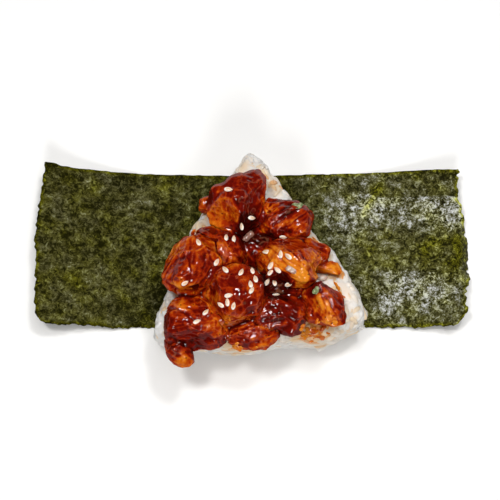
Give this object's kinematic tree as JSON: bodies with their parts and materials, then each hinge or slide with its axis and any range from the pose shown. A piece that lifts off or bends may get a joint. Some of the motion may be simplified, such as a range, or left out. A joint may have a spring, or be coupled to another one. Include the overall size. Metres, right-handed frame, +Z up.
{
  "type": "open-faced chicken onigiri",
  "caption": "Open-faced onigiri lying flat: a moulded rice triangle on a toasted nori strip, under a pile of glazed chicken pieces with sesame seeds and herb flakes.",
  "frame": {"origin": "middle of the underside of the nori strip, on the surface that it lies on", "axes": "+X along the nori strip, +Y towards the rice triangle's apex, +Z up"},
  "size_m": [0.1861, 0.0968, 0.052],
  "materials": {
    "nori": "dark green toasted seaweed, mottled and rough, with a dull sheen",
    "rice": "moist cooked short-grain rice, faintly translucent",
    "chicken": "sticky glossy red-brown glaze"
  },
  "bodies": {
    "root": {"nori_sheet": "nori", "rice_triangle": "rice", "chicken_back": "chicken", "chicken_centre": "chicken", "chicken_right": "chicken", "chicken_left": "chicken", "chicken_front_right": "chicken", "chicken_back_right": "chicken", "chicken_inner_left": "chicken", "chicken_front_left": "chicken", "chicken_front": "chicken", "chicken_front_low": "chicken", "chicken_inner_right": "chicken", "chicken_hollow": "chicken", "chicken_corner": "chicken", "chicken_side": "chicken", "chicken_side_bit": "chicken", "chicken_edge_bit": "chicken"}
  },
  "joints": []
}
